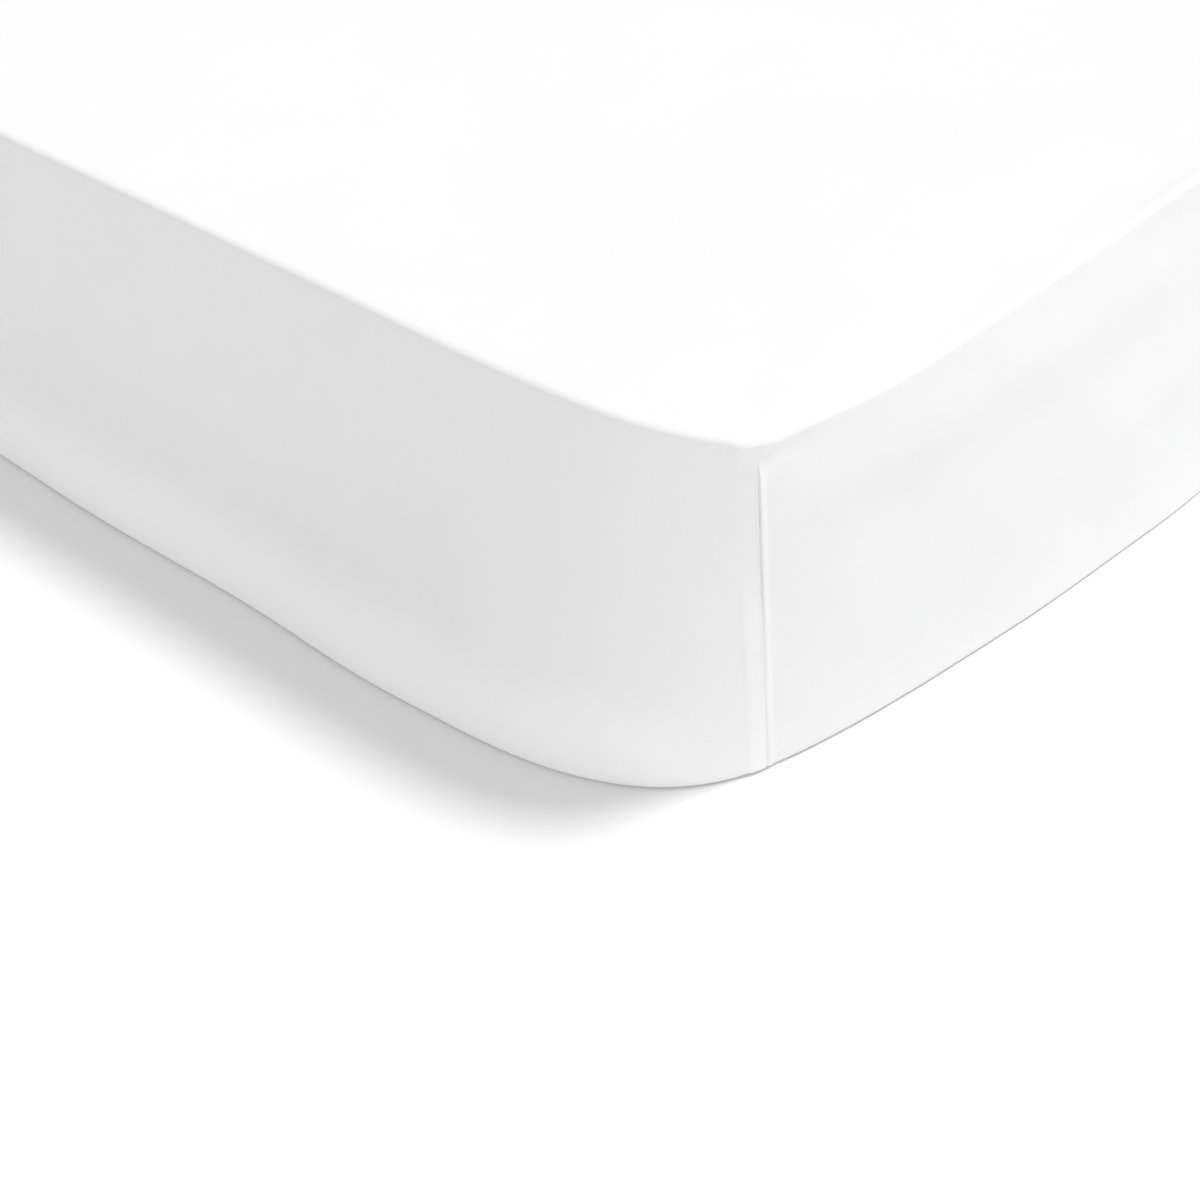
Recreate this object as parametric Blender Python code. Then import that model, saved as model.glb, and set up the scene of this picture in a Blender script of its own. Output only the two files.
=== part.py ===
# A fitted sheet pulled over a single mattress, modelled as it is made.
#
# The sheet is one piece of white cotton: a top panel, four side drops that are sewn together at the corners,
# and an edge that is drawn under the mattress to a hem. Its cloth is worked out from three outlines seen from
# above: the top edge, the foot and the hem. Between the top edge and the foot the side drops are ruled,
# column by column, so a corner can be a sharp point on top and a broad curve at the floor. The mattress is
# the same body, a little smaller all round, closed underneath.
#
# The origin is on the floor under the middle of the bed. X runs across it, Y along it and Z up.

import math

import bmesh
import bpy
import numpy as np
from mathutils import Vector

# ------------------------------------------------------------------ driving dimensions, in metres

HALF_WIDTH = 0.450           # middle of the bed to a long side, at the foot of the side
HALF_LENGTH = 1.000          # middle of the bed to a short side
CORNER_HEIGHT = 0.253        # floor to the top edge at a corner

SHEET_THICKNESS = 0.002
HEM_THICKNESS = 0.003        # the hem is folded over twice
HEM_WIDTH = 0.016
FOOT_ROLL = 0.004            # radius in which the side turns under
MATTRESS_SIDE_GAP = 0.0025   # inner face of the cloth to the mattress, at the sides and on top
MATTRESS_FLOOR_GAP = 0.0005  # upper face of the hem to the mattress

# The outline of each level, at a corner. Its places are measured back from the point where the two straight
# sides would meet: u counts along the short side, v along the long side. Each corner is two smooth curves
# that meet at the seam. A curve leaves the seam in the direction of its angle (0 is along the short side, 90
# along the long side) and joins the straight side at its start. The grips say how far each end holds its
# direction, and the last two columns how far the straight side itself is moved out.
OUTLINE_COLUMNS = (
    "seam_u", "seam_v",
    "short_start", "short_grip", "short_seam_grip", "short_angle",
    "long_start", "long_grip", "long_seam_grip", "long_angle",
    "short_out", "long_out",
)
OUTLINE_ROWS = {
    "top":  (0.0115, 0.0308, 0.188, 0.130, 0.043, 26.0, 0.350, 0.210, 0.110, 79.0, 0.000, 0.009),
    "foot": (0.038, 0.088, 0.188, 0.077, 0.060, 76.0, 0.500, 0.115, 0.075, 70.0, 0.000, 0.000),
    "hem":  (0.175, 0.195, 0.320, 0.080, 0.040, 52.0, 0.500, 0.090, 0.050, 62.0, -0.125, -0.125),
}

# The four corners, in the order of a walk round the bed that starts at the corner nearest the viewer. The
# shift makes a corner's curves a little larger or smaller, because no two corners are pulled on alike.
CORNER_COLUMNS = ("x_side", "y_side", "shift")
CORNER_ROWS = (
    (1, -1, 1.00),
    (1, 1, 0.93),
    (-1, 1, 1.06),
    (-1, -1, 0.96),
)

# How the cloth turns over the top edge: a crisp roll all round. The rise is how much higher the edge stands on
# the straight part of a side than at the corners.
EDGE_COLUMNS = ("inwards", "downwards", "rise")
EDGE_ROWS = {
    "seam": (0.011, 0.011, 0.000),
    "short": (0.008, 0.007, -0.001),
    "long": (0.006, 0.006, 0.008),
}
EDGE_BLEND = 0.040           # distance from a seam in which its roll passes into the side's own

# The sewn seam down each corner. The cut edges of the cloth lie folded behind it, and raise a low flat ridge
# on each side of the seam line: a narrow one on the long side's cloth, and on the short side's cloth a
# broader one that fades out halfway up. The first four columns are distances from the seam line.
RIDGE_COLUMNS = ("rise_start", "rise_end", "fall_start", "fall_end", "height", "top")
RIDGE_ROWS = {
    "short": (0.0, 0.0008, 0.0100, 0.0125, 0.0010, 0.150),
    "long": (0.0, 0.0008, 0.0034, 0.0042, 0.0009, 0.230),
}

# Soft swells and hollows of the side drops. "along" is the x of a short side or the y of a long side,
# "height" is above the floor, the two reaches are how far the swell spreads each way, and "out" is how far it
# stands out.
SWELL_COLUMNS = ("side", "along", "height", "reach_along", "reach_up", "out")
SWELL_ROWS = (
    ("front", -0.045, 0.010, 0.110, 0.060, 0.0060),
    ("front", 0.180, 0.000, 0.090, 0.080, 0.0070),
    ("front", 0.180, 0.120, 0.160, 0.090, -0.0025),
    ("front", -0.280, 0.200, 0.140, 0.080, 0.0020),
    ("right", -0.780, 0.205, 0.230, 0.030, 0.0028),
    ("right", -0.780, 0.135, 0.200, 0.045, 0.0018),
    ("right", -0.560, 0.100, 0.180, 0.090, 0.0030),
    ("right", -0.100, 0.150, 0.300, 0.100, -0.0030),
    ("right", 0.480, 0.060, 0.220, 0.080, 0.0035),
    ("back", 0.120, 0.080, 0.180, 0.080, 0.0030),
    ("back", -0.190, 0.170, 0.160, 0.080, -0.0025),
    ("left", 0.350, 0.120, 0.260, 0.100, 0.0030),
    ("left", -0.420, 0.090, 0.240, 0.090, -0.0030),
)

SWELL_CALM = 0.045           # a swell fades out within this distance of a seam

# How finely the cloth is divided.
CORNER_STEPS = {"short": 6, "long": 7}
MIDDLE_STEPS = {"short": 6, "long": 8}
FOOT_ROLL_STEPS = 2
WALL_STEPS = 7
TOP_ROLL_STEPS = 3
SEAM_CROWDING = 1.4          # above 1, the columns stand closer together near a seam
SEAM_TURN = 0.016            # distance from a seam in which the outward direction turns to the side's own
CURVE_SAMPLES = 80           # points along a corner curve from which its length is measured
QUARTER_TURN = math.radians(90.0)
CREASE_ANGLE = math.radians(40.0)  # faces that meet at more than this are shaded as a crease

SIDE_NAMES = ("right", "back", "left", "front")


def named(columns, row):
    """One row of a table as a dictionary."""
    return dict(zip(columns, row))


OUTLINES = {name: named(OUTLINE_COLUMNS, row) for name, row in OUTLINE_ROWS.items()}
EDGES = {name: named(EDGE_COLUMNS, row) for name, row in EDGE_ROWS.items()}
RIDGES = {name: named(RIDGE_COLUMNS, row) for name, row in RIDGE_ROWS.items()}
CORNERS = [named(CORNER_COLUMNS, row) for row in CORNER_ROWS]
SWELLS = [named(SWELL_COLUMNS, row) for row in SWELL_ROWS]


def clear_scene():
    """Start from an empty scene."""
    for thing in list(bpy.data.objects):
        bpy.data.objects.remove(thing, do_unlink=True)


def cubic(start, grip_a, grip_b, end, t):
    """A point of a cubic curve between two ends, each with its grip."""
    s = 1.0 - t
    return start * s ** 3 + grip_a * 3 * s * s * t + grip_b * 3 * s * t * t + end * t ** 3


def ease(t):
    """0 to 1, level at both ends."""
    t = min(max(t, 0.0), 1.0)
    return t * t * (3.0 - 2.0 * t)


def walked(points):
    """The distance walked along a line of points, at each of them."""
    distances = [0.0]
    for before, after in zip(points, points[1:]):
        distances.append(distances[-1] + (after - before).length)
    return distances


def side_kind(side):
    """The sides alternate: long, short, long, short."""
    return "long" if side % 2 == 0 else "short"


def ridge_edges(kind):
    """The distances from the seam line at which its ridge rises and falls."""
    return [RIDGES[kind][name] for name in ("rise_start", "rise_end", "fall_start", "fall_end")]


def corner_stations(kind, length):
    """Distances from the seam at which the columns of cloth stand, on one side of a corner."""
    near = ridge_edges(kind)
    rest = length - near[-1]
    steps = CORNER_STEPS[kind]
    return near + [near[-1] + rest * (step / steps) ** SEAM_CROWDING for step in range(1, steps + 1)]


def corner_curve(level, corner, kind):
    """The points from a corner's seam to the start of the straight side of that kind, short or long."""
    row = OUTLINES[level]
    shift = corner["shift"]
    seam = Vector((row["seam_u"], row["seam_v"])) * shift
    angle = math.radians(row[kind + "_angle"])
    start = row[kind + "_start"] * shift
    grip = row[kind + "_grip"] * shift
    seam_grip = row[kind + "_seam_grip"] * shift
    inwards = -row[kind + "_out"]
    if kind == "short":
        away = Vector((math.cos(angle), -math.sin(angle)))
        end = Vector((start, inwards))
        end_grip = Vector((start - grip, inwards))
    else:
        away = Vector((-math.cos(angle), math.sin(angle)))
        end = Vector((inwards, start))
        end_grip = Vector((inwards, start - grip))
    leaving = seam + away * seam_grip
    curve = [cubic(seam, leaving, end_grip, end, n / CURVE_SAMPLES) for n in range(CURVE_SAMPLES + 1)]
    distances = walked(curve)
    points = []
    for station in corner_stations(kind, distances[-1]):
        u = np.interp(station, distances, [point.x for point in curve])
        v = np.interp(station, distances, [point.y for point in curve])
        points.append(Vector((corner["x_side"] * (HALF_WIDTH - u), corner["y_side"] * (HALF_LENGTH - v))))
    return points


def side_line(level, side):
    """One side of a level's outline, from the seam at its start to the seam at its end."""
    kind = side_kind(side)
    leaving = corner_curve(level, CORNERS[side], kind)
    arriving = corner_curve(level, CORNERS[(side + 1) % 4], kind)
    arriving.reverse()
    steps = MIDDLE_STEPS[kind]
    middle = [leaving[-1].lerp(arriving[0], step / steps) for step in range(1, steps)]
    return leaving + middle + arriving


def outline(level):
    """The whole closed outline of a level, walked anticlockwise from the first corner's seam."""
    points = []
    for side in range(4):
        points += side_line(level, side)[:-1]
    return points


def column_notes():
    """What is known of each column of the cloth, in the order of the walk.

    That is its side, its distance from the nearest seam and that seam's column, and "clear", which goes from 0
    at a seam to 1 where the straight side starts.
    """
    notes = []
    column_count = len(outline("top"))
    for side in range(4):
        distances = walked(side_line("top", side))
        corner_length = OUTLINES["top"][side_kind(side) + "_start"]
        first_seam = len(notes)
        last_seam = (first_seam + len(distances) - 1) % column_count
        for distance in distances[:-1]:
            from_seam = min(distance, distances[-1] - distance)
            notes.append({
                "side": side,
                "from_seam": from_seam,
                "seam_column": first_seam if from_seam == distance else last_seam,
                "clear": min(1.0, from_seam / corner_length),
            })
    return notes


def outward_normals(points, notes):
    """The outward direction at each point of an anticlockwise outline, turned gradually near a seam.

    If it turned at once, cloth that is moved inwards there would fold over itself.
    """
    normals = []
    for index, point in enumerate(points):
        before = points[index - 1]
        after = points[(index + 1) % len(points)]
        run = ((point - before).normalized() + (after - point).normalized()).normalized()
        normals.append(Vector((run.y, -run.x)))
    turned = []
    for normal, note in zip(normals, notes):
        at_seam = normals[note["seam_column"]]
        turned.append(at_seam.lerp(normal, ease(note["from_seam"] / SEAM_TURN)).normalized())
    return turned


def top_roll(note):
    """How far the cloth rolls inwards and downwards over the top edge, at one column."""
    blend = ease(note["from_seam"] / EDGE_BLEND)
    seam = EDGES["seam"]
    side = EDGES[side_kind(note["side"])]
    inwards = seam["inwards"] + (side["inwards"] - seam["inwards"]) * blend
    downwards = seam["downwards"] + (side["downwards"] - seam["downwards"]) * blend
    return inwards, downwards


def edge_height(note):
    """The height of the top edge, which changes gradually from a corner to the straight part of a side."""
    return CORNER_HEIGHT + EDGES[side_kind(note["side"])]["rise"] * ease(note["clear"])


def swell_at(note, place, height):
    """How far the cloth stands out at a place of a side drop, which is nothing at a seam."""
    side_name = SIDE_NAMES[note["side"]]
    along = place.y if side_kind(note["side"]) == "long" else place.x
    total = 0.0
    for swell in SWELLS:
        if swell["side"] == side_name:
            across = (along - swell["along"]) / swell["reach_along"]
            upwards = (height - swell["height"]) / swell["reach_up"]
            total += swell["out"] * math.exp(-across * across - upwards * upwards)
    return total * ease(note["from_seam"] / SWELL_CALM)


def ridge_at(note, height):
    """How far the ridge beside the seam stands out, at one column and height."""
    kind = side_kind(note["side"])
    ridge = RIDGES[kind]
    if height > ridge["top"]:
        return 0.0
    profile = (0.0, ridge["height"], ridge["height"], 0.0)
    return float(np.interp(note["from_seam"], ridge_edges(kind), profile))


def section_at(note, side_inset, floor_height):
    """The section through the cloth at one column: distances inwards from the side, and heights."""
    roll_in, roll_down = top_roll(note)
    crest = edge_height(note) - side_inset
    wall_low = floor_height + FOOT_ROLL
    wall_high = crest - roll_down
    section = []
    for step in range(FOOT_ROLL_STEPS):
        turn = QUARTER_TURN * step / FOOT_ROLL_STEPS
        section.append((FOOT_ROLL * (1.0 - math.sin(turn)), wall_low - FOOT_ROLL * math.cos(turn)))
    for step in range(WALL_STEPS):
        section.append((0.0, wall_low + (wall_high - wall_low) * step / WALL_STEPS))
    for step in range(TOP_ROLL_STEPS + 1):
        turn = QUARTER_TURN * step / TOP_ROLL_STEPS
        section.append((roll_in * (1.0 - math.cos(turn)), crest - roll_down * (1.0 - math.sin(turn))))
    return section


def skin_rings(side_inset, floor_height, with_ridge):
    """Rings of points round the bed, from the turn under the foot up to the edge of the top panel.

    The side inset makes the body smaller all round, and the floor height lifts its underside.
    """
    foot = outline("foot")
    top = outline("top")
    notes = column_notes()
    foot_normals = outward_normals(foot, notes)
    top_normals = outward_normals(top, notes)
    rings = [[] for _ in range(FOOT_ROLL_STEPS + WALL_STEPS + TOP_ROLL_STEPS + 1)]
    for index, note in enumerate(notes):
        for ring, (inset, height) in zip(rings, section_at(note, side_inset, floor_height)):
            share = height / edge_height(note)
            place = foot[index].lerp(top[index], share)
            normal = foot_normals[index].lerp(top_normals[index], share).normalized()
            out = swell_at(note, place, height) - inset - side_inset
            if with_ridge:
                out += ridge_at(note, height)
            place = place + normal * out
            ring.append(Vector((place.x, place.y, height)))
    return rings


def tuck_ring(foot_ring, distance, height):
    """A flat ring of the tucked cloth, at a distance from the hem towards the turn under the foot."""
    ring = []
    for hem_point, foot_point in zip(outline("hem"), foot_ring):
        run = foot_point.xy - hem_point
        place = hem_point + run.normalized() * distance
        ring.append(Vector((place.x, place.y, height)))
    return ring


def panel_grid(ring):
    """The top panel as rows of points, stretched between the four sides of its edge ring."""
    along = len(side_line("top", 0)) - 1
    across = len(side_line("top", 1)) - 1
    right = ring[0:along + 1]
    back = ring[along:along + across + 1]
    left = ring[along + across:2 * along + across + 1]
    front = ring[2 * along + across:] + [ring[0]]
    back.reverse()
    left.reverse()
    rows = []
    for j in range(along + 1):
        row = []
        for i in range(across + 1):
            u = i / across
            v = j / along
            sides = left[j].lerp(right[j], u) + front[i].lerp(back[i], v)
            corners = left[0].lerp(right[0], u).lerp(left[-1].lerp(right[-1], u), v)
            row.append(sides - corners)
        rows.append(row)
    return rows


def join_rings(mesh, low, high):
    """A band of faces between two rings of vertices, facing to the right of the walk from low to high."""
    for index in range(len(low)):
        after = (index + 1) % len(low)
        mesh.faces.new((low[index], low[after], high[after], high[index]))


def add_rings(mesh, rings):
    """Vertices for rings of points, with bands of faces between neighbouring rings."""
    vertex_rings = [[mesh.verts.new(point) for point in ring] for ring in rings]
    for low, high in zip(vertex_rings, vertex_rings[1:]):
        join_rings(mesh, low, high)
    return vertex_rings


def add_top_panel(mesh, edge_points, edge_vertices, facing_up):
    """A top panel, joined to the vertices of its edge ring."""
    rows = panel_grid(edge_points)
    along = len(rows) - 1
    across = len(rows[0]) - 1
    grid = {}
    for j in range(along + 1):
        grid[across, j] = edge_vertices[j]
        grid[0, j] = edge_vertices[2 * along + across - j]
    for i in range(across + 1):
        grid[i, along] = edge_vertices[along + across - i]
        grid[i, 0] = edge_vertices[(2 * along + across + i) % len(edge_vertices)]
    for j in range(1, along):
        for i in range(1, across):
            grid[i, j] = mesh.verts.new(rows[j][i])
    for j in range(along):
        for i in range(across):
            face = [grid[i, j], grid[i + 1, j], grid[i + 1, j + 1], grid[i, j + 1]]
            if not facing_up:
                face.reverse()
            mesh.faces.new(face)


def plain_material(name, colour, roughness):
    """A simple finish: colour and roughness only."""
    material = bpy.data.materials.new(name)
    material.use_nodes = True
    shader = material.node_tree.nodes["Principled BSDF"]
    shader.inputs["Base Color"].default_value = (*colour, 1.0)
    shader.inputs["Roughness"].default_value = roughness
    shader.inputs["Metallic"].default_value = 0.0
    return material


def finish_object(name, mesh, material):
    """Turn a bmesh into a named object in the scene."""
    data = bpy.data.meshes.new(name)
    mesh.to_mesh(data)
    mesh.free()
    data.shade_smooth()
    data.set_sharp_from_angle(angle=CREASE_ANGLE)
    data.materials.append(material)
    thing = bpy.data.objects.new(name, data)
    bpy.context.scene.collection.objects.link(thing)
    return thing


def make_sheet():
    """The fitted sheet: its outer face, its inner face, and the hem's edge that joins the two."""
    mesh = bmesh.new()
    outer_skin = skin_rings(0.0, 0.0, True)
    outer_tuck = [tuck_ring(outer_skin[0], distance, 0.0) for distance in (0.0, HEM_WIDTH)]
    inner_skin = skin_rings(SHEET_THICKNESS, SHEET_THICKNESS, False)
    hem_step = HEM_THICKNESS - SHEET_THICKNESS
    inner_tuck = [
        tuck_ring(inner_skin[0], 0.0, HEM_THICKNESS),
        tuck_ring(inner_skin[0], HEM_WIDTH, HEM_THICKNESS),
        tuck_ring(inner_skin[0], HEM_WIDTH + hem_step, SHEET_THICKNESS),
    ]
    outer = add_rings(mesh, outer_tuck + outer_skin)
    inner = add_rings(mesh, list(reversed(inner_tuck + inner_skin)))
    join_rings(mesh, inner[-1], outer[0])
    add_top_panel(mesh, outer_skin[-1], outer[-1], True)
    add_top_panel(mesh, inner_skin[-1], inner[0], False)
    return finish_object("fitted_sheet", mesh, plain_material("white_cotton", (0.92, 0.92, 0.92), 0.9))


def make_mattress():
    """The mattress: the same body inside the cloth, closed underneath."""
    mesh = bmesh.new()
    rings = skin_rings(SHEET_THICKNESS + MATTRESS_SIDE_GAP, HEM_THICKNESS + MATTRESS_FLOOR_GAP, False)
    vertex_rings = add_rings(mesh, rings)
    add_top_panel(mesh, rings[-1], vertex_rings[-1], True)
    mesh.faces.new(list(reversed(vertex_rings[0])))
    return finish_object("mattress", mesh, plain_material("mattress_ticking", (0.80, 0.79, 0.76), 0.85))


clear_scene()
make_mattress()
make_sheet()
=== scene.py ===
# %% [markdown]
# A fitted sheet on a mattress. The real sheet is one piece of white cotton. A seam down each corner turns it
# into a shallow box that is pulled over a mattress, and its hem is drawn underneath. This file makes the
# cloth, its stitching, the mattress that fills it, their finishes, and a small white studio.
#
# The solids are packed in their own file. They are loaded first, and every piece below is made to stand
# where its solid stands.

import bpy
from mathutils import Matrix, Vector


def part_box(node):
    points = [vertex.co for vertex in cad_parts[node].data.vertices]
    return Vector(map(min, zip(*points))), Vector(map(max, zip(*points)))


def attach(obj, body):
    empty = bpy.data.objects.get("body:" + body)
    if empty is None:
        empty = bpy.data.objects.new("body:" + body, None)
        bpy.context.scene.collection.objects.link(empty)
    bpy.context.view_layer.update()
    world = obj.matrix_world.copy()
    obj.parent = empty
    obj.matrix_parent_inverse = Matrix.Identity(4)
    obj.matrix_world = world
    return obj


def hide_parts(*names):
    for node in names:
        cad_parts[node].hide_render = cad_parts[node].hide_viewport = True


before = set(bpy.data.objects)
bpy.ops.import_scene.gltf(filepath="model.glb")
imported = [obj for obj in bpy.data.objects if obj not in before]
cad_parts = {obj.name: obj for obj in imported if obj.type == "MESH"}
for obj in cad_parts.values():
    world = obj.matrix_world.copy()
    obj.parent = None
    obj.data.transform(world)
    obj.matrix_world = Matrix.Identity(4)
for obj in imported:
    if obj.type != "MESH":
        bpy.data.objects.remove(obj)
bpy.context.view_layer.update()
print("solids:", sorted(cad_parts))

# %% [markdown]
# Lengths are in metres, so a stitch is about 0.002 long. Numpy handles long lists of points, and moves
# thousands of them in one line. A loop over single vertices would be slow.

# %% Bring in Blender and numpy
import math

import bpy
import numpy as np
from mathutils import Vector

MM = 0.001
scene = bpy.context.scene


def placed(name, data):
    """A new object in the scene that holds the data."""
    thing = bpy.data.objects.new(name, data)
    scene.collection.objects.link(thing)
    return thing


print("Blender", bpy.app.version_string)

# %% [markdown]
# The camera stands outside one corner of the bed and looks down at it along the seam. A long lens keeps the
# two sides from spreading too much. The camera could be aimed by a constraint, but a direction that is
# written down is easier to read and to repeat.

# %% Place the camera
CAMERA_PLACE = (1.007, -1.716, 0.858)
CAMERA_LOOKS_ALONG = (-0.534, 0.598, -0.598)
CAMERA_LENS = 71.9
CAMERA_SENSOR = 36.0

camera_data = bpy.data.cameras.new("studio_camera")
camera_data.lens = CAMERA_LENS
camera_data.sensor_width = CAMERA_SENSOR
camera_data.clip_end = 50.0
camera = placed("studio_camera", camera_data)
camera.location = CAMERA_PLACE
camera.rotation_euler = Vector(CAMERA_LOOKS_ALONG).to_track_quat("-Z", "Y").to_euler()
scene.camera = camera
print("camera at", CAMERA_PLACE, "with a lens of", CAMERA_LENS, "mm")

# %% [markdown]
# The shape of the stretched cloth follows from three lines seen from above: its top edge, its foot on the
# floor and its hem underneath. At a corner the top is almost a point and the foot is a broad bend, and the
# cloth runs straight from one to the other. Each corner of each line is two smooth curves that meet at the
# seam. The rows below are the same as those of the solid, so the finer cloth lies on it.

# %% Sizes of the bed and its three outlines
HALF_WIDTH = 0.450
HALF_LENGTH = 1.000
CORNER_HEIGHT = 0.250
FOOT_ROLL = 0.004

OUTLINE_COLUMNS = (
    "seam_u", "seam_v",
    "short_start", "short_grip", "short_seam_grip", "short_angle",
    "long_start", "long_grip", "long_seam_grip", "long_angle",
    "short_out", "long_out",
)
OUTLINE_ROWS = {
    "top":  (0.0115, 0.0308, 0.188, 0.130, 0.043, 26.0, 0.350, 0.210, 0.110, 79.0, 0.000, 0.009),
    "foot": (0.038, 0.088, 0.188, 0.077, 0.060, 76.0, 0.500, 0.115, 0.075, 70.0, 0.000, 0.000),
    "hem":  (0.175, 0.195, 0.320, 0.080, 0.040, 52.0, 0.500, 0.090, 0.050, 62.0, -0.125, -0.125),
}
CORNER_COLUMNS = ("x_side", "y_side", "shift")
CORNER_ROWS = ((1, -1, 1.00), (1, 1, 0.93), (-1, 1, 1.06), (-1, -1, 0.96))


def table(columns, rows):
    """The rows of a table as dictionaries. Rows that have a name keep it."""
    if isinstance(rows, dict):
        return {name: dict(zip(columns, row)) for name, row in rows.items()}
    return [dict(zip(columns, row)) for row in rows]


OUTLINES = table(OUTLINE_COLUMNS, OUTLINE_ROWS)
CORNERS = table(CORNER_COLUMNS, CORNER_ROWS)
sheet_low, sheet_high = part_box("fitted_sheet")
print("the solid sheet is", round(sheet_high.z - sheet_low.z, 4), "m high")

# %% [markdown]
# A woven cloth has no columns, but a mesh of it does. They stand close together beside a seam, where the
# cloth changes in a millimetre, and wide apart in the middle of a side, where it hardly changes. An even grid
# that is fine enough for the seam would have millions of faces.

# %% Where the columns of cloth stand
NEAR_SEAM = {
    "short": np.array([0.0, 0.4, 0.8, 1.3, 2.0, 2.8, 4.0, 5.6, 7.6, 10.0, 11.2, 12.5]) * MM,
    "long": np.array([0.0, 0.4, 0.8, 1.3, 2.0, 2.8, 3.4, 4.2]) * MM,
}
CORNER_STEPS = {"short": 36, "long": 44}
MIDDLE_STEPS = {"short": 82, "long": 98}
SEAM_CROWDING = 1.35
CURVE_SAMPLES = 400
SIDES = ("right", "back", "left", "front")
KIND = {"right": "long", "back": "short", "left": "long", "front": "short"}


def walked(points):
    """The distance walked along a line of points, at each of them."""
    steps = np.linalg.norm(np.diff(points, axis=0), axis=1)
    return np.concatenate([[0.0], np.cumsum(steps)])


def corner_stations(kind, length):
    """Distances from the seam to each column, up to the end of the corner."""
    near = NEAR_SEAM[kind]
    share = (np.arange(1, CORNER_STEPS[kind] + 1) / CORNER_STEPS[kind]) ** SEAM_CROWDING
    return np.concatenate([near, near[-1] + (length - near[-1]) * share])


def corner_curve(level, corner, kind):
    """Points from a corner's seam to the straight side of that kind, at the columns of cloth."""
    row = OUTLINES[level]
    shift = corner["shift"]
    seam = np.array([row["seam_u"], row["seam_v"]]) * shift
    angle = math.radians(row[kind + "_angle"])
    start = row[kind + "_start"] * shift
    grip = row[kind + "_grip"] * shift
    inwards = -row[kind + "_out"]
    order = 1 if kind == "short" else -1
    away = np.array([math.cos(angle), -math.sin(angle)]) * order
    end = np.array([start, inwards])[::order]
    end_grip = np.array([start - grip, inwards])[::order]
    leaving = seam + away * row[kind + "_seam_grip"] * shift
    t = np.linspace(0.0, 1.0, CURVE_SAMPLES)[:, None]
    s = 1.0 - t
    curve = seam * s ** 3 + leaving * 3 * s * s * t + end_grip * 3 * s * t * t + end * t ** 3
    distance = walked(curve)
    stations = corner_stations(kind, distance[-1])
    u = np.interp(stations, distance, curve[:, 0])
    v = np.interp(stations, distance, curve[:, 1])
    return np.stack([corner["x_side"] * (HALF_WIDTH - u), corner["y_side"] * (HALF_LENGTH - v)], axis=1)


def side_line(level, side):
    """One side of an outline, from seam to seam, walked anticlockwise."""
    kind = KIND[SIDES[side]]
    leaving = corner_curve(level, CORNERS[side], kind)
    arriving = corner_curve(level, CORNERS[(side + 1) % 4], kind)[::-1]
    share = np.arange(1, MIDDLE_STEPS[kind])[:, None] / MIDDLE_STEPS[kind]
    middle = leaving[-1] + (arriving[0] - leaving[-1]) * share
    return np.concatenate([leaving, middle, arriving])


LINES = {level: [side_line(level, side) for side in range(4)] for level in OUTLINES}
OUTLINE = {level: np.concatenate([line[:-1] for line in lines]) for level, lines in LINES.items()}
COLUMNS = len(OUTLINE["top"])
LONG_COLUMNS = len(LINES["top"][0]) - 1
SHORT_COLUMNS = len(LINES["top"][1]) - 1
print(COLUMNS, "columns of cloth,", LONG_COLUMNS, "on a long side and", SHORT_COLUMNS, "on a short one")

# %% [markdown]
# Every column remembers where it is, so that later steps can ask: which side it is on, how far it is from the
# nearest seam, and how far along its side. Distance along a side is counted from its middle, so on a straight
# stretch it is plain X or Y, and it goes on counting round the bend of a corner.

# %% Notes on each column
ALONG_SIGN = (1, -1, -1, 1)
SEAM_TURN = 0.016


def ease(t):
    """0 to 1, level at both ends."""
    t = np.clip(t, 0.0, 1.0)
    return t * t * (3.0 - 2.0 * t)


def note_columns():
    """Side, distance from the seam, its column, clearness and distance along the side."""
    notes = {"side": [], "from_seam": [], "seam_column": [], "clear": [], "along": []}
    first_seam = 0
    for side, name in enumerate(SIDES):
        distance = walked(LINES["top"][side])
        from_seam = np.minimum(distance, distance[-1] - distance)
        halfway = (LINES["top"][side] + LINES["foot"][side]) / 2
        axis = 1 if KIND[name] == "long" else 0
        along = walked(halfway)
        middle = np.interp(0.0, ALONG_SIGN[side] * halfway[:, axis], along)
        notes["side"].append(np.full(len(distance) - 1, side))
        notes["from_seam"].append(from_seam[:-1])
        notes["clear"].append(np.minimum(1.0, from_seam / OUTLINES["top"][KIND[name] + "_start"])[:-1])
        notes["along"].append((ALONG_SIGN[side] * (along - middle))[:-1])
        last_seam = (first_seam + len(distance) - 1) % COLUMNS
        nearest = np.where(distance < distance[-1] / 2, first_seam, last_seam)
        notes["seam_column"].append(nearest[:-1])
        first_seam = last_seam
    return {name: np.concatenate(parts) for name, parts in notes.items()}


NOTE = note_columns()


def unit(vectors):
    """The vectors, each with a length of 1."""
    return vectors / np.linalg.norm(vectors, axis=-1, keepdims=True)


def outward_normals(points):
    """The outward direction at each point of an outline. Beside a seam it turns gradually.

    If it turned at once, cloth that is moved inwards there would fold over itself.
    """
    run = unit(points - np.roll(points, 1, axis=0)) + unit(np.roll(points, -1, axis=0) - points)
    normal = unit(np.stack([run[:, 1], -run[:, 0]], axis=1))
    at_seam = normal[NOTE["seam_column"]]
    return unit(at_seam + (normal - at_seam) * ease(NOTE["from_seam"] / SEAM_TURN)[:, None])


NORMAL = {level: outward_normals(points) for level, points in OUTLINE.items()}
ON_LONG_SIDE = NOTE["side"] % 2 == 0
print("the long side is", round(np.ptp(NOTE["along"][NOTE["side"] == 0]), 3), "m from seam to seam")

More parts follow.
